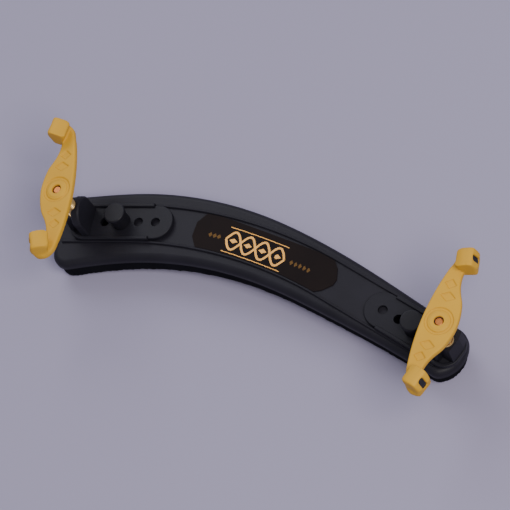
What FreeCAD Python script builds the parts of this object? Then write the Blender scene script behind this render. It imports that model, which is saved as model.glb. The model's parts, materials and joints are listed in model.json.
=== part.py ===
"""Violin shoulder rest: curved bar on a foam pad, two sliding brackets, two height-adjustable forks.

Millimetres, +Z up, +X along the bar, +Y towards the convex side of the bar.
The origin lies on the floor under the centre of the whole object.
"""
import FreeCAD, Part
import math
import os

V = FreeCAD.Vector

# Bar path: straight run, circular arc in a tilted plane, straight run.
ARC_LENGTH = 110.0          # length of the arc along the channel floor
PLAN_TURN = 26.0            # degrees turned as seen from above
ARCH_TURN = 10.0            # degrees turned as seen from the side
LEFT_END = -93.3            # stations along the path, measured from the arc middle
RIGHT_END = 130.6
NOSE_START = 124.0          # station where the rounded right end begins
LEVEL_TILT = -0.8           # turn about Y that lets both ends reach the floor

# Bar section
BAR_THICKNESS = 4.8
EDGE_ROUND = 3.0
RAIL_OFFSET = 9.9           # rail centre from the bar centre line
RAIL_WIDTH = 1.1
RAIL_HEIGHT = 1.1
RAIL_SETBACK = {"left": 4.0, "right": 9.0}
LEFT_CORNER = 8.0           # corner radii of the outline
LEFT_TOP_CORNER = 5.0
RIGHT_CORNER = 5.0
RIGHT_TOP_CORNER = 9.0
NOSE_SIDE = -2.5            # the right end is longest on this side of the centre line

# Outline half-widths at stations along the path, convex side and concave side
CONVEX_SIDE = [(LEFT_END, 14.6), (-75, 16.3), (-50, 17.6), (-25, 17.6), (5, 16.6), (35, 15.0),
               (65, 14.4), (95, 13.1), (NOSE_START, 11.8)]
CONCAVE_SIDE = [(LEFT_END, 24.5), (-80, 22.0), (-55, 19.0), (-10, 16.9), (30, 16.0), (60, 14.9),
                (90, 13.4), (NOSE_START, 13.5)]

# Foam pad
FOAM_THICKNESS = 9.3
FOAM_INSET = 0.9
FOAM_NOSE_INSET = 2.8       # inset at the right end
FOAM_GAP = 0.05             # glue line
REST_CUT = 0.9              # height of the flats where the ends rest

# Label plate on the channel floor
LABEL_START = -20.3
LABEL_END = 57.6
LABEL_HALF = 9.1
LABEL_THICKNESS = 0.4
LABEL_GAP = 0.05

# Brackets, measured outward (u) from the height screw axis
SCREW_STATION = {"left": -78.7, "right": 123.9}
SIDE_SHIFT = {"left": -0.2, "right": 0.0}
PLATE_HALF = 8.9
PLATE_LIFT = 0.1
PLATE_TOP = 2.2
HOLE_PITCH = 9.0
FIRST_HOLE = -11.1
HOLE_COUNT = 4
HOLE_RADIUS = 2.35
KNOB_HOLE = 1               # the knob sits in the second hole
TRAY_END = 5.9
TRAY_CORNER = 7.2
LIP_START = -36.0
LIP_WIDTH = 1.9
LIP_HEIGHT = 1.1
LIP_FOOT = 1.2
LIP_OVERHANG = 0.85
UPRIGHT_HALF = 8.0
UPRIGHT_INNER = -4.7
UPRIGHT_OUTER = -0.5
UPRIGHT_TOP = 19.4
BUTTRESS_TOP = 13.6
BUTTRESS_FOOT = [(-1.0, -4.8), (6.3, -4.8), (6.5, 3.6), (4.4, 8.1), (-1.0, 8.2)]
BUTTRESS_HEAD = [(-1.0, -4.2), (4.6, -4.2), (4.7, 3.4), (3.6, 7.2), (-1.0, 7.4)]

# Brass insert and height screw
INSERT_RADIUS = 3.7
INSERT_FOOT = 4.0
INSERT_TOP = 14.1
SCREW_BORE = 3.2
SCREW_RADIUS = 3.0
RUNNING_FIT = 0.05
SCREW_FOOT = 7.4
COLLAR_RADIUS = 4.6
COLLAR_THICKNESS = 1.5

# Knob
KNOB_RADIUS = 5.3
KNOB_TOP = 11.9
KNOB_RIM = 2.6
STEM_RADIUS = 4.6
STUD_RADIUS = 2.0

# Slide slot under each bracket and its nut
SLIDE_IN = {"left": 2.5, "right": 14.0}
SLIDE_OUT = {"left": 14.0, "right": 14.0}
NUT_HALF = 4.0
NUT_TOP = -2.4
NUT_FOOT = -4.5

# Forks
FORK_TOP = 35.2             # top of the fork plate above the channel floor
FORK_THICKNESS = 3.4
FORK_ROUND = 0.9
FORK_TURN = {"left": 4.2, "right": 12.9}
FORK_HALF_LENGTH = 36.2
FORK_INNER = -8.1
FORK_OUTER = 8.6
FORK_SHOULDER = (-4.4, 29.5)     # where the inner edge starts to curl round the foot
FORK_CURL = (-2.6, 33.6)
FORK_TIP_U = 1.0
NECK_POINTS = [(8.0, 7.5), (12.0, 6.2), (16.0, 4.0), (20.0, 2.4), (24.0, 1.7), (27.2, 1.7)]

# Feet, each in its own frame: p outwards, q along the fork, turned in by the toe angle
FOOT_PLACE = (2.4, 30.7)
TOE_ANGLE = 15.0
FOOT_HALF = 4.6
FOOT_PROFILE = [(4.2, -3.4), (4.4, 1.4), (5.3, 2.7), (2.7, 8.0), (0.2, 8.1), (-0.3, 7.5), (-0.8, 7.7),
                (-3.0, 6.9), (-5.8, 5.2), (-5.2, 4.0), (-3.6, 2.2), (-2.8, 0.0), (-2.6, -3.4)]
FOOT_SOFT = [(5.3, 2.7), (2.7, 8.0), (-3.0, 6.9), (-5.8, 5.2)]
FOOT_CORNER = 2.4
CORE_THICKNESS = 1.0
CORE_LEVEL = 1.2            # core above the underside of the fork
CORE_INSET = 1.6
SLOT_HALF = 1.35
SLOT_PROFILE = [(3.9, 1.0), (3.9, 2.6), (1.9, 6.7), (2.9, 7.2), (9.0, 7.2), (9.0, 1.0)]
PRONG_PROFILE = [(3.9, -2.2), (3.9, 2.6), (1.7, 7.1), (0.7, 7.1), (2.8, 2.4), (2.8, -2.2)]
RIVET_HOLE = 2.3
BOSS_RADIUS = 4.3
BOSS_HEIGHT = 0.35
RECESS_DEPTH = 0.7
RECESS_RING = (5.3, 6.7)
LOZENGES = [(-0.6, 12.4, 3.8, 2.5), (-1.7, 18.6, 2.9, 2.5)]
RIVET_RADIUS = 2.0
RIVET_SUNK = 0.7

# Derived path geometry
ARC_HALF = ARC_LENGTH / 2
TURN = math.radians(math.hypot(PLAN_TURN, ARCH_TURN))
ARC_RADIUS = ARC_LENGTH / TURN
LEAN = math.atan2(ARCH_TURN, PLAN_TURN)
ARC_AXIS = V(0, math.sin(LEAN), -math.cos(LEAN))
ARC_CENTRE = V(0, -math.cos(LEAN), -math.sin(LEAN)) * ARC_RADIUS


def path_frame(station):
    """Placement of the bar section at a station: X along the path, Z out of the channel floor."""
    inner = max(-ARC_HALF, min(ARC_HALF, station))
    turn = FreeCAD.Rotation(ARC_AXIS, math.degrees(inner / ARC_RADIUS))
    along = FreeCAD.Placement(V(station - inner, 0, 0), FreeCAD.Rotation())
    return FreeCAD.Placement(V(), turn, ARC_CENTRE).multiply(along)


def on_path(station, side):
    """Point of the plan view at a station, a signed distance to the convex side."""
    point = path_frame(station).multVec(V(0, side, 0))
    return V(point.x, point.y, 0)


def face(points):
    """Flat face through a closed list of corner points."""
    return Part.Face(Part.makePolygon(points + points[:1]))


def section(corners):
    """Flat face across the bar from (side, height) corners."""
    return face([V(0, side, height) for side, height in corners])


def fuse(shapes):
    """One clean solid out of several."""
    whole = shapes[0]
    if len(shapes) > 1:
        whole = whole.multiFuse(shapes[1:]).removeSplitter()
    return whole.Solids[0] if len(whole.Solids) == 1 else whole


def sweep(profile, start, end):
    """Solid left by a section face moved along the path between two stations."""
    pieces = []
    cuts = [start] + [c for c in (-ARC_HALF, ARC_HALF) if start < c < end] + [end]
    for first, last in zip(cuts, cuts[1:]):
        here = path_frame(first)
        moved = profile.copy()
        moved.Placement = here.multiply(moved.Placement)
        if abs(first + last) / 2 < ARC_HALF:
            pieces.append(moved.revolve(ARC_CENTRE, ARC_AXIS, math.degrees((last - first) / ARC_RADIUS)))
        else:
            pieces.append(moved.extrude(here.Rotation.multVec(V(last - first, 0, 0))))
    return fuse(pieces)


def spline(points):
    """Smooth curve through points."""
    curve = Part.BSplineCurve()
    curve.interpolate(points)
    return curve.toShape()


def outline_prism(inset, nose_inset):
    """Upright prism over the plan outline of the bar, drawn in by an inset."""
    first, last = LEFT_END + inset, NOSE_START - nose_inset
    lower = [on_path(min(max(s, first), last), -(w - inset)) for s, w in CONCAVE_SIDE]
    upper = [on_path(min(max(s, first), last), w - inset) for s, w in CONVEX_SIDE]
    nose = Part.Arc(lower[-1], on_path(RIGHT_END - nose_inset, NOSE_SIDE), upper[-1]).toShape()
    rim = Part.Wire([spline(lower), nose, spline(upper[::-1]), Part.makeLine(upper[0], lower[0])])
    prism = Part.Face(rim).extrude(V(0, 0, 80))
    prism.translate(V(0, 0, -50))
    corners = [(lower[0], LEFT_CORNER), (upper[0], LEFT_TOP_CORNER), (lower[-1], RIGHT_CORNER),
               (upper[-1], RIGHT_TOP_CORNER)]
    for corner, radius in corners:
        post = [e for e in prism.Edges if upright_at(e, corner)]
        prism = prism.makeFillet(radius - inset / 2, post)
    return prism


def upright_at(edge, corner):
    """True for the vertical edge that stands over a plan point."""
    ends = [v.Point for v in edge.Vertexes]
    if len(ends) != 2 or abs(ends[0].z - ends[1].z) < 70:
        return False
    return all(math.hypot(p.x - corner.x, p.y - corner.y) < 0.05 for p in ends)


def local_point(point):
    """Station and section coordinates (side, height) of a point."""
    station = point.x
    for _ in range(30):
        station += path_frame(station).inverse().multVec(point).x
    local = path_frame(station).inverse().multVec(point)
    return station, local.y, local.z


def on_rim(edge, start, end):
    """True for an edge of the top face that follows the outline of the bar."""
    span = edge.LastParameter - edge.FirstParameter
    samples = [local_point(edge.valueAt(edge.FirstParameter + f * span)) for f in (0.1, 0.5, 0.9)]
    if min(height for _, _, height in samples) < -0.02:
        return False
    return all(abs(station - cut) > 0.05 for station, _, _ in samples for cut in (start, end))


def bar_blank():
    """Bar with its outline and rounded shoulder, made run by run, before rails and slots."""
    wide = 30.0
    profile = section([(-wide, 0), (wide, 0), (wide, -BAR_THICKNESS), (-wide, -BAR_THICKNESS)])
    outline = outline_prism(0, 0)
    cuts = [LEFT_END - 5, -ARC_HALF, ARC_HALF, RIGHT_END + 5]
    runs = []
    for start, end in zip(cuts, cuts[1:]):
        run = sweep(profile, start, end).common(outline).Solids[0]
        rim = [e for e in run.Edges if on_rim(e, start, end)]
        runs.append(run.makeFillet(EDGE_ROUND, rim))
    return fuse(runs)


def rails():
    """The two thin rails beside the channel."""
    half = RAIL_WIDTH / 2
    soft = 0.3
    strips = []
    for side in (-1, 1):
        middle = side * RAIL_OFFSET
        corners = [(middle - half, -0.5), (middle + half, -0.5), (middle + half, RAIL_HEIGHT - soft),
                   (middle + half - soft, RAIL_HEIGHT), (middle - half + soft, RAIL_HEIGHT),
                   (middle - half, RAIL_HEIGHT - soft)]
        strips.append(sweep(section(corners), LEFT_END + RAIL_SETBACK["left"], RIGHT_END - RAIL_SETBACK["right"]))
    return strips


def slot_cut(side):
    """Stepped slot for the knob stud and its nut, as a solid to cut from the bar."""
    sign = -1 if side == "left" else 1
    knob = SCREW_STATION[side] + sign * knob_offset()
    inner = knob - sign * SLIDE_IN[side]
    outer = knob + sign * SLIDE_OUT[side]
    low, high = min(inner, outer), max(inner, outer)
    place = path_frame(SCREW_STATION[side])
    shift = SIDE_SHIFT[side]
    cuts = []
    levels = ((STUD_RADIUS + 0.25, -10.0, 5.0), (NUT_HALF + 0.3, -10.0, NUT_TOP + 0.1))
    for half, foot, top in levels:
        length = high - low + 2 * half
        cut = Part.makeBox(length, 2 * half, top - foot,
                           V(low - half - SCREW_STATION[side], shift - half, foot))
        cut.Placement = place
        cuts.append(cut)
    return cuts


def knob_offset():
    """Outward distance of the knob from the height screw."""
    return FIRST_HOLE - KNOB_HOLE * HOLE_PITCH


def base_bar():
    bar = fuse([bar_blank()] + rails())
    for side in ("left", "right"):
        bar = bar.cut(slot_cut(side))
    return bar


def foam_pad():
    wide = 40.0
    top = -BAR_THICKNESS - FOAM_GAP
    foot = top - FOAM_THICKNESS
    profile = section([(-wide, foot), (wide, foot), (wide, top), (-wide, top)])
    pad = sweep(profile, LEFT_END - 5, RIGHT_END + 5).common(outline_prism(FOAM_INSET, FOAM_NOSE_INSET)).Solids[0]
    pad.Placement = LEVEL
    floor = pad.BoundBox.ZMin + REST_CUT
    keep = Part.makeBox(400, 200, 100, V(-200, -100, floor))
    pad = pad.common(keep).Solids[0]
    pad.Placement = LEVEL.inverse().multiply(pad.Placement)
    return pad


def label_plate():
    low, high = LABEL_GAP, LABEL_GAP + LABEL_THICKNESS
    half = LABEL_HALF
    profile = section([(-half, low), (half, low), (half, high), (-half, high)])
    blank = sweep(profile, LABEL_START, LABEL_END)
    corners = [(LABEL_START, -3.8), (LABEL_START + 4.2, -half - 1), (LABEL_END - 7.5, -half - 1),
               (LABEL_END - 3.1, -6.6), (LABEL_END, -1.6), (LABEL_END, 1.6), (LABEL_END - 3.1, 6.6),
               (LABEL_END - 7.5, half + 1), (LABEL_START + 4.2, half + 1), (LABEL_START, 3.8)]
    mask = face([on_path(s, w) for s, w in corners]).extrude(V(0, 0, 30))
    mask.translate(V(0, 0, -15))
    return blank.common(mask).Solids[0]


def cylinder(radius, foot, top, u=0.0):
    return Part.makeCylinder(radius, top - foot, V(u, 0, foot))


def rounded_box(low, high, corner):
    """Box between two corners with its upright edges rounded."""
    box = Part.makeBox(high[0] - low[0], high[1] - low[1], high[2] - low[2], V(*low))
    tall = high[2] - low[2] - 0.01
    return box.makeFillet(corner, [e for e in box.Edges if e.BoundBox.ZLength > tall])


def level_edges(shape, height):
    """Edges that lie flat at a height."""
    return [e for e in shape.Edges if abs(e.BoundBox.ZMin - height) < 0.01 and e.BoundBox.ZLength < 0.01]


def bracket_plate():
    """Slotless plate with one round end inwards and one broad round end outwards."""
    tip = FIRST_HOLE - (HOLE_COUNT - 1) * HOLE_PITCH
    block = rounded_box((-2 * PLATE_HALF, -PLATE_HALF, PLATE_LIFT), (TRAY_END, PLATE_HALF, PLATE_TOP), TRAY_CORNER)
    strip = Part.makeBox(-PLATE_HALF - tip, 2 * PLATE_HALF, PLATE_TOP - PLATE_LIFT, V(tip, -PLATE_HALF, PLATE_LIFT))
    plate = fuse([block, strip, cylinder(PLATE_HALF, PLATE_LIFT, PLATE_TOP, tip)])
    return plate.makeFillet(0.4, level_edges(plate, PLATE_TOP))


def bracket_rim():
    """Raised rim along both sides of the plate and round its outer end."""
    wide = PLATE_HALF + LIP_OVERHANG
    top = PLATE_TOP + LIP_HEIGHT
    far = TRAY_END + LIP_OVERHANG
    back = LIP_START - 20
    ring = rounded_box((back, -wide, LIP_FOOT), (far, wide, top), TRAY_CORNER + LIP_OVERHANG)
    inside = wide - LIP_WIDTH
    ring = ring.cut(rounded_box((back - 20, -inside, 0), (far - LIP_WIDTH, inside, top + 1), TRAY_CORNER - 1))
    ring = ring.common(Part.makeBox(100, 100, 20, V(LIP_START, -50, 0)))
    return ring.makeFillet(0.5, level_edges(ring, top))


def bracket_upright():
    """Arched wall and the sloping buttress behind it that carry the brass insert."""
    spring = UPRIGHT_TOP - UPRIGHT_HALF
    depth = UPRIGHT_OUTER - UPRIGHT_INNER
    wall = Part.makeBox(depth, 2 * UPRIGHT_HALF, spring - PLATE_LIFT, V(UPRIGHT_INNER, -UPRIGHT_HALF, PLATE_LIFT))
    arch = Part.makeCylinder(UPRIGHT_HALF, depth, V(UPRIGHT_INNER, 0, spring), V(1, 0, 0))
    slab = fuse([wall, arch])
    rounds = [e for e in slab.Edges if e.BoundBox.XLength < 0.01 and e.BoundBox.ZMax > spring + 1]
    slab = slab.makeChamfer(0.7, rounds)
    wires = []
    for corners, height in ((BUTTRESS_FOOT, PLATE_LIFT), (BUTTRESS_HEAD, BUTTRESS_TOP)):
        points = [V(u, v, height) for u, v in corners]
        wires.append(Part.makePolygon(points + points[:1]))
    buttress = Part.makeLoft(wires, True, True)
    return fuse([slab, buttress])


def bracket():
    """Plate with holes, raised rim, arched upright and buttress; u is +X here."""
    body = fuse([bracket_plate(), bracket_rim(), bracket_upright()])
    drills = [cylinder(HOLE_RADIUS, -1, PLATE_TOP + 5, FIRST_HOLE - n * HOLE_PITCH) for n in range(HOLE_COUNT)]
    drills.append(cylinder(INSERT_RADIUS + 0.02, INSERT_FOOT - 0.02, INSERT_TOP + 0.02))
    drills.append(cylinder(SCREW_BORE, 0.9, 40))
    return body.cut(drills)


def brass_insert():
    body = cylinder(INSERT_RADIUS, INSERT_FOOT, INSERT_TOP)
    body = body.makeChamfer(0.4, [e for e in body.Edges if e.BoundBox.ZMin > INSERT_TOP - 0.01])
    return body.cut(cylinder(SCREW_RADIUS, INSERT_FOOT - 1, INSERT_TOP + 1))


def height_screw():
    underside = FORK_TOP - FORK_THICKNESS - 0.1
    shaft = cylinder(SCREW_RADIUS - RUNNING_FIT, SCREW_FOOT, underside)
    shaft = shaft.makeChamfer(0.5, [e for e in shaft.Edges if e.BoundBox.ZMax < SCREW_FOOT + 0.01])
    collar = cylinder(COLLAR_RADIUS, underside - COLLAR_THICKNESS, underside)
    collar = collar.makeChamfer(0.4, [e for e in collar.Edges if e.BoundBox.ZMax < underside - 1])
    return fuse([shaft, collar]).cut(cylinder(RIVET_RADIUS + RUNNING_FIT, underside - 4.0, 40))


def rivet():
    underside = FORK_TOP - FORK_THICKNESS - 0.1
    head = FORK_TOP - RIVET_SUNK
    body = cylinder(RIVET_RADIUS, underside - 3.8, head)
    return body.makeFillet(0.5, level_edges(body, head))


def knob_stud():
    u = knob_offset()
    body = cylinder(STUD_RADIUS - RUNNING_FIT, NUT_FOOT + 0.05, KNOB_TOP - 3.5, u)
    return body.makeChamfer(0.3, [e for e in body.Edges if e.BoundBox.ZMax < NUT_FOOT + 0.1])


def knob_cap():
    u = knob_offset()
    foot = PLATE_TOP + 0.1
    stem = cylinder(STEM_RADIUS, foot, KNOB_TOP - KNOB_RIM + 0.5, u)
    disc = cylinder(KNOB_RADIUS, KNOB_TOP - KNOB_RIM, KNOB_TOP, u)
    disc = disc.makeFillet(0.7, [e for e in disc.Edges if e.BoundBox.ZLength < 0.01])
    body = fuse([stem, disc])
    return body.cut(cylinder(STUD_RADIUS, foot - 1, KNOB_TOP - 3.5, u))


def slide_nut():
    u = knob_offset()
    body = Part.makeBox(2 * NUT_HALF, 2 * NUT_HALF, NUT_TOP - NUT_FOOT, V(u - NUT_HALF, -NUT_HALF, NUT_FOOT))
    body = body.makeFillet(1.0, [e for e in body.Edges if e.BoundBox.ZLength > 1])
    return body.cut(cylinder(STUD_RADIUS, NUT_FOOT - 1, NUT_TOP + 1, u))


def fork_outline(inset):
    """Plan wire of the fork plate between the feet, drawn in by an inset."""
    end = FORK_HALF_LENGTH - inset
    shelf = NECK_POINTS[-1][1] + 2.4
    neck = [V(u - inset, v, 0) for v, u in NECK_POINTS]
    bulge = [V(p.x, -p.y, 0) for p in neck[::-1]] + [V(FORK_OUTER - inset, 0, 0)] + neck
    shoulder = V(FORK_SHOULDER[0] + inset, FORK_SHOULDER[1] - inset, 0)
    curl = V(FORK_CURL[0] + inset, FORK_CURL[1] - inset, 0)
    tip = V(FORK_TIP_U + inset, end, 0)
    inner = Part.Arc(shoulder, V(FORK_INNER + inset, 0, 0), V(shoulder.x, -shoulder.y, 0)).toShape()
    low_curl = Part.Arc(*[V(p.x, -p.y, 0) for p in (shoulder, curl, tip)]).toShape()
    high = [neck[-1], V(shelf, neck[-1].y, 0), V(shelf, end, 0), tip]
    low = [V(p.x, -p.y, 0) for p in high[::-1]]
    return Part.Wire([inner, low_curl] + Part.makePolygon(low).Edges + [spline(bulge)]
                     + Part.makePolygon(high).Edges + [Part.Arc(tip, curl, shoulder).toShape()])


def foot_prism(profile, half):
    """Prism along a foot, from a section in the foot's own frame."""
    return face([V(p, -half, h) for p, h in profile]).extrude(V(0, 2 * half, 0))


def on_foot(shape, way):
    """Set a piece of a foot on the fork, at one end or mirrored at the other."""
    moved = shape.copy()
    turn = FreeCAD.Rotation(V(0, 0, 1), TOE_ANGLE)
    moved.Placement = FreeCAD.Placement(V(*FOOT_PLACE, 0), turn)
    return moved if way > 0 else moved.mirror(V(), V(0, 1, 0))


def soft_edge(edge):
    """True for a long edge of the foot that is rounded."""
    if edge.BoundBox.YLength < 2 * FOOT_HALF - 0.01:
        return False
    point = edge.Vertexes[0].Point
    return any(math.hypot(point.x - p, point.z - h) < 0.01 for p, h in FOOT_SOFT)


def foot_body():
    """One rubber foot: a hooked pad with rounded ends."""
    pad = foot_prism(FOOT_PROFILE, FOOT_HALF)
    pad = pad.makeFillet(0.5, [e for e in pad.Edges if soft_edge(e)])
    reach = max(p for p, _ in FOOT_PROFILE) + 0.1
    back = min(p for p, _ in FOOT_PROFILE) - 0.1
    return pad.common(rounded_box((back, -FOOT_HALF, -10), (reach, FOOT_HALF, 10), FOOT_CORNER))


def fork_core():
    """Steel core: flat plate with an upturned prong in each foot."""
    level = CORE_LEVEL - FORK_THICKNESS
    plate = Part.Face(fork_outline(CORE_INSET)).extrude(V(0, 0, CORE_THICKNESS))
    plate.translate(V(0, 0, level))
    half = SLOT_HALF + 0.5
    tang = Part.makeBox(4.4, 2 * half, CORE_THICKNESS, V(-1.0, -half, level))
    parts = [plate]
    for way in (-1, 1):
        parts += [on_foot(tang, way), on_foot(foot_prism(PRONG_PROFILE, half), way)]
    return fuse(parts).cut(cylinder(RIVET_RADIUS, -10, 10))


def lozenge(u, v, half_u, half_v):
    """Shallow diamond-shaped recess for the top of the fork."""
    points = [V(u - half_u, v, 0), V(u, v - half_v, 0), V(u + half_u, v, 0), V(u, v + half_v, 0)]
    cut = face(points).extrude(V(0, 0, 2))
    cut.translate(V(0, 0, -RECESS_DEPTH))
    return cut


def fork_cover(core):
    """Rubber cover with a raised boss, a ring and diamonds sunk into its top."""
    plate = Part.Face(fork_outline(0)).extrude(V(0, 0, FORK_THICKNESS))
    plate.translate(V(0, 0, -FORK_THICKNESS))
    curved = [e for e in plate.Edges if e.BoundBox.ZLength < 0.01 and e.BoundBox.YLength > 40]
    plate = plate.makeFillet(FORK_ROUND, curved)
    ring = cylinder(RECESS_RING[1], -RECESS_DEPTH, 2).cut(cylinder(RECESS_RING[0], -1, 3))
    cuts = [ring] + [lozenge(u, way * v, a, b) for way in (-1, 1) for u, v, a, b in LOZENGES]
    feet = [on_foot(foot_body(), way) for way in (-1, 1)]
    slots = [on_foot(foot_prism(SLOT_PROFILE, SLOT_HALF), way) for way in (-1, 1)]
    body = fuse([plate.cut(cuts)] + feet + [cylinder(BOSS_RADIUS, -1, BOSS_HEIGHT)])
    hole = cylinder(RIVET_HOLE, -CORE_LEVEL - 0.5, 10)
    return body.cut([core, hole, cylinder(RIVET_RADIUS, -10, 10)] + slots)


def place(shape, side, turn=0.0, lift=0.0):
    """Set an end part on the bar: mirrored for the left, turned about the height screw."""
    moved = shape.copy()
    if side == "left":
        moved = moved.mirror(V(), V(1, 0, 0))
    local = FreeCAD.Placement(V(0, SIDE_SHIFT[side], lift), FreeCAD.Rotation(V(0, 0, 1), turn))
    moved.Placement = path_frame(SCREW_STATION[side]).multiply(local).multiply(moved.Placement)
    return moved


LEVEL = FreeCAD.Placement(V(), FreeCAD.Rotation(V(0, 1, 0), LEVEL_TILT))


def build():
    """All nodes by name, already in the final frame."""
    nodes = {"base_bar": base_bar(), "foam_pad": foam_pad(), "label_plate": label_plate()}
    core = fork_core()
    cover = fork_cover(core)
    for side in ("left", "right"):
        nodes[side + "_bracket"] = place(bracket(), side)
        nodes[side + "_brass_insert"] = place(brass_insert(), side)
        nodes[side + "_slide_nut"] = place(slide_nut(), side)
        nodes[side + "_knob_stud"] = place(knob_stud(), side)
        nodes[side + "_knob_cap"] = place(knob_cap(), side)
        nodes[side + "_height_screw"] = place(height_screw(), side)
        nodes[side + "_rivet"] = place(rivet(), side)
        nodes[side + "_fork_core"] = place(core, side, FORK_TURN[side], FORK_TOP)
        nodes[side + "_fork_cover"] = place(cover, side, FORK_TURN[side], FORK_TOP)
    for shape in nodes.values():
        shape.Placement = LEVEL.multiply(shape.Placement)
    box = FreeCAD.BoundBox()
    for shape in nodes.values():
        box.add(shape.optimalBoundingBox())
    origin = V(box.Center.x, box.Center.y, box.ZMin)
    for shape in nodes.values():
        shape.Placement = FreeCAD.Placement(-origin, FreeCAD.Rotation()).multiply(shape.Placement)
    return nodes


os.makedirs("parts", exist_ok=True)
for name, shape in build().items():
    shape.exportStep("parts/" + name + ".step")
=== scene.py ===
import bpy
import bmesh
import json
import math
from mathutils import Matrix, Vector


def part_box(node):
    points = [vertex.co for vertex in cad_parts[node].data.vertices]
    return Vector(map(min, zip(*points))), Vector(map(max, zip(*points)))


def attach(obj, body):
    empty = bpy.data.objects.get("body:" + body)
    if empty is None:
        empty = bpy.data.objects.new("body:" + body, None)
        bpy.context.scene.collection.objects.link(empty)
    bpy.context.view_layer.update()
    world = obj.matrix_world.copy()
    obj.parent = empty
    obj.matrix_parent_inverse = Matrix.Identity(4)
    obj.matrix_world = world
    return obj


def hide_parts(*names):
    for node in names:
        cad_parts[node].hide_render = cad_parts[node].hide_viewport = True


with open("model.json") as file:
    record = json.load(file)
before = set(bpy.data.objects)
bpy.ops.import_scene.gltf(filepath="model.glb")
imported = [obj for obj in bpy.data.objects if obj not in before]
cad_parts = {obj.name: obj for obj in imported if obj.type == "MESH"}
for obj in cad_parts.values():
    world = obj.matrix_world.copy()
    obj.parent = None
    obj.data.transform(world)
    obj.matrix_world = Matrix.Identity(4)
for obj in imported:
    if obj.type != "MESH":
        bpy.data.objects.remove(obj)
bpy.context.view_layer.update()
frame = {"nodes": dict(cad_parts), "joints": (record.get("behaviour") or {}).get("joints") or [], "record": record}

NODES = frame["nodes"]
SIDES = ("left", "right")


# ---------------------------------------------------------------- materials
MOTTLE_SCALE = 60.0
MOTTLE_EDGES = (0.3, 0.7)
MOULDED_GLOSS_SPREAD = 0.06
RELIEF_DEPTH = 0.0001
TOOL_MARK_SCALE = 900.0
METAL_GLOSS_SPREAD = 0.08


def new_material(name):
    """Empty material with its node tree, links and main shader."""
    mat = bpy.data.materials.new(name)
    mat.use_nodes = True
    nodes = mat.node_tree.nodes
    return mat, nodes, mat.node_tree.links, nodes["Principled BSDF"]


def moulded(name, dark, light, roughness, grain, grain_size, specular):
    """Moulded plastic or rubber: mottled colour, uneven gloss and a fine grain in relief."""
    mat, nodes, links, shader = new_material(name)
    place = nodes.new("ShaderNodeTexCoord")
    cloud = nodes.new("ShaderNodeTexNoise")
    cloud.inputs["Scale"].default_value = MOTTLE_SCALE
    cloud.inputs["Detail"].default_value = 3.0
    links.new(place.outputs["Object"], cloud.inputs["Vector"])
    tone = nodes.new("ShaderNodeValToRGB")
    tone.color_ramp.elements[0].position = MOTTLE_EDGES[0]
    tone.color_ramp.elements[0].color = dark
    tone.color_ramp.elements[1].position = MOTTLE_EDGES[1]
    tone.color_ramp.elements[1].color = light
    links.new(cloud.outputs["Fac"], tone.inputs["Fac"])
    links.new(tone.outputs["Color"], shader.inputs["Base Color"])
    gloss = nodes.new("ShaderNodeMapRange")
    gloss.inputs["To Min"].default_value = roughness - MOULDED_GLOSS_SPREAD
    gloss.inputs["To Max"].default_value = roughness + MOULDED_GLOSS_SPREAD
    links.new(cloud.outputs["Fac"], gloss.inputs["Value"])
    links.new(gloss.outputs["Result"], shader.inputs["Roughness"])
    shader.inputs["Specular IOR Level"].default_value = specular
    fine = nodes.new("ShaderNodeTexNoise")
    fine.inputs["Scale"].default_value = grain_size
    fine.inputs["Detail"].default_value = 2.0
    links.new(place.outputs["Object"], fine.inputs["Vector"])
    relief = nodes.new("ShaderNodeBump")
    relief.inputs["Strength"].default_value = grain
    relief.inputs["Distance"].default_value = RELIEF_DEPTH
    links.new(fine.outputs["Fac"], relief.inputs["Height"])
    links.new(relief.outputs["Normal"], shader.inputs["Normal"])
    return mat


def turned(name, colour, worn, roughness):
    """Turned or plated metal with faint tool marks."""
    mat, nodes, links, shader = new_material(name)
    place = nodes.new("ShaderNodeTexCoord")
    marks = nodes.new("ShaderNodeTexNoise")
    marks.inputs["Scale"].default_value = TOOL_MARK_SCALE
    links.new(place.outputs["Object"], marks.inputs["Vector"])
    tone = nodes.new("ShaderNodeValToRGB")
    tone.color_ramp.elements[0].color = colour
    tone.color_ramp.elements[1].color = worn
    links.new(marks.outputs["Fac"], tone.inputs["Fac"])
    links.new(tone.outputs["Color"], shader.inputs["Base Color"])
    shader.inputs["Metallic"].default_value = 1.0
    gloss = nodes.new("ShaderNodeMapRange")
    gloss.inputs["To Min"].default_value = roughness - METAL_GLOSS_SPREAD
    gloss.inputs["To Max"].default_value = roughness + METAL_GLOSS_SPREAD
    links.new(marks.outputs["Fac"], gloss.inputs["Value"])
    links.new(gloss.outputs["Result"], shader.inputs["Roughness"])
    return mat


# name: dark colour, light colour, roughness, relief strength, relief scale, specular level
MOULDED = {
    "bar_plastic": ((0.0092, 0.0083, 0.0124, 1), (0.0130, 0.0119, 0.0176, 1), 0.5, 0.5, 2600.0, 0.2),
    "bracket_plastic": ((0.0085, 0.008, 0.0115, 1), (0.0122, 0.0115, 0.0165, 1), 0.48, 0.45, 2600.0, 0.2),
    "foam": ((0.0045, 0.0045, 0.0063, 1), (0.0076, 0.0075, 0.01, 1), 0.9, 0.9, 1500.0, 0.05),
    "label": ((0.0075, 0.0045, 0.0045, 1), (0.0105, 0.0065, 0.006, 1), 0.55, 0.05, 800.0, 0.08),
    "knob_plastic": ((0.0075, 0.007, 0.0098, 1), (0.0105, 0.010, 0.0138, 1), 0.45, 0.3, 2600.0, 0.22),
    "black_steel": ((0.009, 0.009, 0.014, 1), (0.014, 0.014, 0.02, 1), 0.5, 0.1, 900.0, 0.3),
    "fork_rubber": ((0.565, 0.30, 0.020, 1), (0.605, 0.33, 0.026, 1), 0.55, 0.12, 2200.0, 0.22),
}
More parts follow.
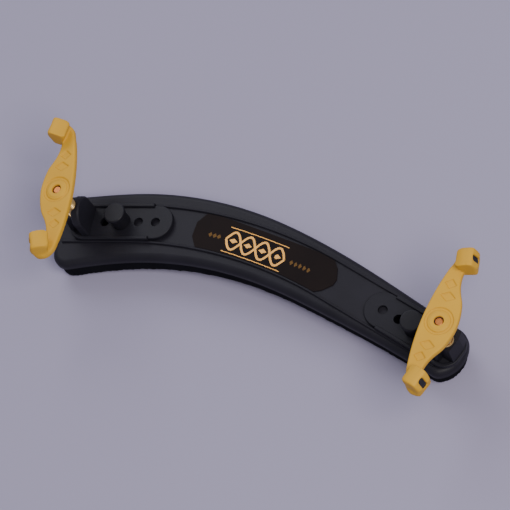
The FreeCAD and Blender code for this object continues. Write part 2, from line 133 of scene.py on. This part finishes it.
# name: colour, worn colour, roughness
TURNED = {
    "steel": ((0.45, 0.45, 0.46, 1), (0.6, 0.6, 0.61, 1), 0.35),
    "screw_brass": ((0.62, 0.40, 0.15, 1), (0.75, 0.52, 0.22, 1), 0.3),
    "brass": ((0.62, 0.40, 0.15, 1), (0.78, 0.55, 0.25, 1), 0.28),
    "copper": ((0.50, 0.17, 0.045, 1), (0.62, 0.24, 0.07, 1), 0.4),
    "dim_print": ((0.10, 0.055, 0.02, 1), (0.13, 0.07, 0.025, 1), 0.5),
    "gold_print": ((0.62, 0.30, 0.075, 1), (0.74, 0.40, 0.11, 1), 0.45),
}
MATERIALS = {name: moulded(name, *values) for name, values in MOULDED.items()}
MATERIALS.update({name: turned(name, *values) for name, values in TURNED.items()})


def paint(obj, slot_name):
    """Give a piece its one material, picked by slot name, on every face."""
    obj.data.materials.clear()
    obj.data.materials.append(MATERIALS[slot_name])
    for polygon in obj.data.polygons:
        polygon.material_index = 0


for entry in frame["record"]["subparts"]:
    node = NODES[entry["node"]]
    node.data.materials.clear()
    node.data.materials.append(MATERIALS[entry["material_slot"]])


# ---------------------------------------------------------------- pieces
WELD = 1e-6
SMOOTH_FACTOR = 0.5
SOFT_PASSES = 2
COVER_VOXEL = 0.00028
FOAM_VOXEL = 0.0009


def add_piece(name, mesh, body, slot_name):
    """New smooth-shaded piece on a body."""
    piece = bpy.data.objects.new(name, mesh)
    bpy.context.collection.objects.link(piece)
    paint(piece, slot_name)
    for polygon in mesh.polygons:
        polygon.use_smooth = True
    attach(piece, body)
    return piece


def softened(node_name, voxel):
    """Copy of a node's mesh with its edges rounded by remeshing and smoothing."""
    work = bmesh.new()
    work.from_mesh(NODES[node_name].data)
    bmesh.ops.remove_doubles(work, verts=work.verts, dist=WELD)
    mesh = bpy.data.meshes.new(node_name + "_soft")
    work.to_mesh(mesh)
    work.free()
    rough = bpy.data.objects.new(node_name + "_rough", mesh)
    bpy.context.collection.objects.link(rough)
    remesh = rough.modifiers.new("remesh", "REMESH")
    remesh.mode = "VOXEL"
    remesh.voxel_size = voxel
    smooth = rough.modifiers.new("smooth", "SMOOTH")
    smooth.factor = SMOOTH_FACTOR
    smooth.iterations = SOFT_PASSES
    bpy.context.view_layer.update()
    graph = bpy.context.evaluated_depsgraph_get()
    result = bpy.data.meshes.new_from_object(rough.evaluated_get(graph))
    bpy.data.objects.remove(rough)
    return result


FOOT_REACH = 0.0265         # distance along the fork, from its middle, where the feet begin
FOOT_BLEND = 0.002
FOOT_PASSES = 48


def round_feet(mesh, side):
    """Round the feet of a fork, by drawing each vertex towards the mean of its neighbours."""
    middle, axis = joint_line(side + "_fork_turn")
    work = bmesh.new()
    work.from_mesh(mesh)
    share = {}
    for vert in work.verts:
        offset = vert.co - middle
        away = (offset - axis * offset.dot(axis)).length
        weight = min(max((away - FOOT_REACH) / FOOT_BLEND, 0.0), 1.0)
        if weight > 0:
            share[vert] = SMOOTH_FACTOR * weight
    for _ in range(FOOT_PASSES):
        moved = {}
        for vert, weight in share.items():
            near = [edge.other_vert(vert).co for edge in vert.link_edges]
            moved[vert] = vert.co.lerp(sum(near, Vector()) / len(near), weight)
        for vert, place in moved.items():
            vert.co = place
    work.to_mesh(mesh)
    work.free()


def make_fork_covers():
    """Rubber of both forks, softened all over and rounded further at the feet."""
    for side in SIDES:
        node_name = side + "_fork_cover"
        mesh = softened(node_name, COVER_VOXEL)
        round_feet(mesh, side)
        cover = add_piece(side + "_fork_rubber", mesh, side + "_fork", "fork_rubber")
        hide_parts(node_name)


def make_foam():
    """Foam cushion in place of the plain pad."""
    pad = add_piece("foam_cushion", softened("foam_pad", FOAM_VOXEL), "bar", "foam")
    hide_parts("foam_pad")


def joint_line(name):
    """A point on a joint's line and its direction."""
    for joint in frame["joints"]:
        if joint["name"] == name:
            return Vector(joint["pos_m"]), Vector(joint["axis"]).normalized()
    raise KeyError(name)


SCREW_RADIUS = 0.00295
SCREW_SIDES = 40
ROWS_PER_TURN = 8
FOOT_TAPER = 0.0005
THREAD_DEPTH = 0.00045
THREAD_PITCH = 0.001
COLLAR = (0.0046, 0.0015)         # radius and height
COLLAR_BEVEL = 0.0004
RIVET_BORE = (0.00205, 0.004)     # radius and depth of the hole for the rivet


def along(node_name, point, axis):
    """Lowest and highest reach of a node along an axis, measured from a point."""
    reach = [(Vector(v.co) - point).dot(axis) for v in NODES[node_name].data.vertices]
    return min(reach), max(reach)


def make_screws():
    """Height screws with a cut thread below the collar and a hole for the rivet."""
    for side in SIDES:
        point, axis = joint_line(side + "_fork_turn")
        foot, top = along(side + "_height_screw", point, axis)
        across = axis.orthogonal().normalized()
        beside = axis.cross(across)
        thread_top = top - COLLAR[1]
        rows = int((thread_top - foot) / THREAD_PITCH * ROWS_PER_TURN)
        rings = []
        for row in range(rows + 1):
            height = foot + (thread_top - foot) * row / rows
            rings.append([(height, thread_radius(height, height - foot, n / SCREW_SIDES))
                          for n in range(SCREW_SIDES)])
        bore, depth = RIVET_BORE
        for height, radius in ((thread_top, COLLAR[0] - COLLAR_BEVEL), (thread_top + COLLAR_BEVEL, COLLAR[0]),
                               (top, COLLAR[0]), (top, bore), (top - depth, bore)):
            rings.append([(height, radius)] * SCREW_SIDES)
        work = bmesh.new()
        grid = []
        for ring in rings:
            line = []
            for n, (height, radius) in enumerate(ring):
                angle = 2 * math.pi * n / SCREW_SIDES
                out = across * math.cos(angle) + beside * math.sin(angle)
                line.append(work.verts.new(point + axis * height + out * radius))
            grid.append(line)
        for low, high in zip(grid, grid[1:]):
            for n in range(SCREW_SIDES):
                after = (n + 1) % SCREW_SIDES
                work.faces.new((low[n], low[after], high[after], high[n]))
        work.faces.new(grid[0][::-1])
        work.faces.new(grid[-1])
        mesh = bpy.data.meshes.new(side + "_thread")
        work.to_mesh(mesh)
        work.free()
        screw = add_piece(side + "_threaded_screw", mesh, side + "_screw", "screw_brass")
        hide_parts(side + "_height_screw")


def thread_radius(height, above_foot, turn):
    """Radius of a V thread at a height and a share of a turn, tapered at its foot."""
    phase = (height / THREAD_PITCH - turn) % 1.0
    depth = THREAD_DEPTH * abs(2 * phase - 1)
    taper = max(0.0, FOOT_TAPER - above_foot)
    return SCREW_RADIUS - depth - taper


PROBES = 100                # rays across the label
PROBE_RISE = 0.01
DOWN = Vector((0, 0, -1))


def label_middle(x):
    """Middle of the label across the bar at an x, on its top face."""
    label = NODES["label_plate"]
    low, high = [Vector(c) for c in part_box("label_plate")]
    hits = []
    for n in range(PROBES + 1):
        y = low.y + (high.y - low.y) * n / PROBES
        hit, place, _, _ = label.ray_cast(Vector((x, y, high.z + PROBE_RISE)), DOWN)
        if hit:
            hits.append(place.y)
    return (min(hits) + max(hits)) / 2


def on_label(x, side):
    """Point just above the label, a distance to one side of its middle."""
    label = NODES["label_plate"]
    high = Vector(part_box("label_plate")[1])
    _, place, _, _ = label.ray_cast(Vector((x, label_middle(x) + side, high.z + PROBE_RISE)), DOWN)
    return place + Vector((0, 0, LIFT))


def ribbon(work, points, width):
    """Thin flat ribbon through points."""
    edges = []
    for n, here in enumerate(points):
        before, after = points[max(n - 1, 0)], points[min(n + 1, len(points) - 1)]
        across = (after - before).cross(Vector((0, 0, 1))).normalized() * width / 2
        edges.append((work.verts.new(here - across), work.verts.new(here + across)))
    for (a, b), (c, d) in zip(edges, edges[1:]):
        work.faces.new((a, b, d, c))


# Ornament: shares of the label's length, then distances in metres
ORNAMENT_START = 0.23
ORNAMENT_END = 0.64
ORNAMENT_STEPS = 90
ORNAMENT_WAVES = 2
ORNAMENT_HALF = 0.0046
ORNAMENT_SIDE = -0.0012
STROKE = 0.0011
RULE = 0.0004
RULE_REACH = 1.4            # distance of a rule, in wave heights
LIFT = 0.00003
LOOP_DIAMOND = (0.0022, 0.0013)
MARK_DIAMOND = (0.0011, 0.0013)
MARK_PLACES = (0.12, 0.15, 0.18, 0.69, 0.72, 0.75, 0.78, 0.81)


def lozenge(work, middle, half_length, half_width):
    """Flat diamond around a point."""
    corners = ((half_length, 0), (0, half_width), (-half_length, 0), (0, -half_width))
    work.faces.new([work.verts.new(middle + Vector((x, y, 0))) for x, y in corners])


def printed(name, work, slot_name):
    """Turn drawn ribbons into a printed piece on the label."""
    mesh = bpy.data.meshes.new(name)
    work.to_mesh(mesh)
    work.free()
    add_piece(name, mesh, "bar", "label")
    mesh.materials.clear()
    mesh.materials.append(MATERIALS[slot_name])


def make_ornament():
    """Plain print: crossing waves between rules, a diamond in each loop, faint marks beside."""
    low, high = [Vector(c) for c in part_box("label_plate")]
    length = high.x - low.x
    span = ORNAMENT_END - ORNAMENT_START
    shares = [n / ORNAMENT_STEPS for n in range(ORNAMENT_STEPS + 1)]
    stations = [low.x + length * (ORNAMENT_START + span * share) for share in shares]
    loops = ORNAMENT_WAVES * 2
    work = bmesh.new()
    for sign in (-1, 1):
        swing = [sign * ORNAMENT_HALF * math.sin(math.pi * loops * share) for share in shares]
        ribbon(work, [on_label(x, ORNAMENT_SIDE + y) for x, y in zip(stations, swing)], STROKE)
        rule_side = ORNAMENT_SIDE + sign * ORNAMENT_HALF * RULE_REACH
        ribbon(work, [on_label(x, rule_side) for x in stations], RULE)
    for loop in range(loops):
        x = low.x + length * (ORNAMENT_START + span * (loop + 0.5) / loops)
        lozenge(work, on_label(x, ORNAMENT_SIDE), *LOOP_DIAMOND)
    printed("label_ornament", work, "gold_print")
    faint = bmesh.new()
    for share in MARK_PLACES:
        lozenge(faint, on_label(low.x + length * share, ORNAMENT_SIDE), *MARK_DIAMOND)
    printed("label_marks", faint, "dim_print")


make_foam()
make_fork_covers()
make_screws()
make_ornament()


# ---------------------------------------------------------------- stage, light, camera
FLOOR_SIZE = 12.0
FLOOR_MOTTLE_SCALE = 3.0
FLOOR_TONES = ((0.299, 0.275, 0.384, 1), (0.306, 0.282, 0.392, 1))
FLOOR_ROUGHNESS = 0.9
LIGHT_AIM = Vector((0, 0, 0.02))
# name: position, size, power, colour
LIGHTS = {
    "key": ((1.0, -0.35, 1.5), 0.9, 29.0, (1.0, 0.97, 0.93)),
    "fill": ((-0.9, 0.9, 1.3), 1.2, 13.0, (0.93, 0.95, 1.0)),
}
SKY_COLOUR = (0.85, 0.86, 1.0, 1)
SKY_STRENGTH = 0.45
CAMERA_TARGET = Vector((-0.00285, 0.01279, 0.02132))
CAMERA_DISTANCE = 1.4
CAMERA_ANGLE = 9.81
CAMERA_TURNS = ((25.4, "Y"), (19.04, "X"), (24.83, "Z"))


def make_floor():
    """Plain matt backdrop."""
    mat, nodes, links, shader = new_material("floor")
    place = nodes.new("ShaderNodeTexCoord")
    cloud = nodes.new("ShaderNodeTexNoise")
    cloud.inputs["Scale"].default_value = FLOOR_MOTTLE_SCALE
    links.new(place.outputs["Object"], cloud.inputs["Vector"])
    tone = nodes.new("ShaderNodeValToRGB")
    tone.color_ramp.elements[0].color = FLOOR_TONES[0]
    tone.color_ramp.elements[1].color = FLOOR_TONES[1]
    links.new(cloud.outputs["Fac"], tone.inputs["Fac"])
    links.new(tone.outputs["Color"], shader.inputs["Base Color"])
    shader.inputs["Roughness"].default_value = FLOOR_ROUGHNESS
    bpy.ops.mesh.primitive_plane_add(size=FLOOR_SIZE, location=(0, 0, 0))
    floor = bpy.context.object
    floor.name = "floor"
    floor.data.materials.append(mat)


def area_light(name, where, size, power, colour):
    """Round area light aimed at the part."""
    data = bpy.data.lights.new(name, "AREA")
    data.shape = "DISK"
    data.size = size
    data.energy = power
    data.color = colour
    lamp = bpy.data.objects.new(name, data)
    lamp.location = where
    lamp.rotation_euler = (LIGHT_AIM - Vector(where)).to_track_quat("-Z", "Y").to_euler()
    bpy.context.collection.objects.link(lamp)


def make_world():
    """Even sky light."""
    world = bpy.data.worlds.new("studio")
    world.use_nodes = True
    back = world.node_tree.nodes["Background"]
    back.inputs["Color"].default_value = SKY_COLOUR
    back.inputs["Strength"].default_value = SKY_STRENGTH
    bpy.context.scene.world = world


def make_camera():
    """Long-lens camera looking down on the part, turned about the target."""
    data = bpy.data.cameras.new("camera")
    data.sensor_width = 36.0
    data.angle = math.radians(CAMERA_ANGLE)
    data.clip_start = 0.05
    camera = bpy.data.objects.new("camera", data)
    turn = Matrix.Identity(4)
    for degrees, about in CAMERA_TURNS:
        turn = turn @ Matrix.Rotation(math.radians(degrees), 4, about)
    back = turn.to_3x3() @ Vector((0, 0, CAMERA_DISTANCE))
    camera.matrix_world = Matrix.Translation(CAMERA_TARGET + back) @ turn
    bpy.context.collection.objects.link(camera)
    bpy.context.scene.camera = camera


make_floor()
make_world()
for light_name, values in LIGHTS.items():
    area_light(light_name, *values)
make_camera()
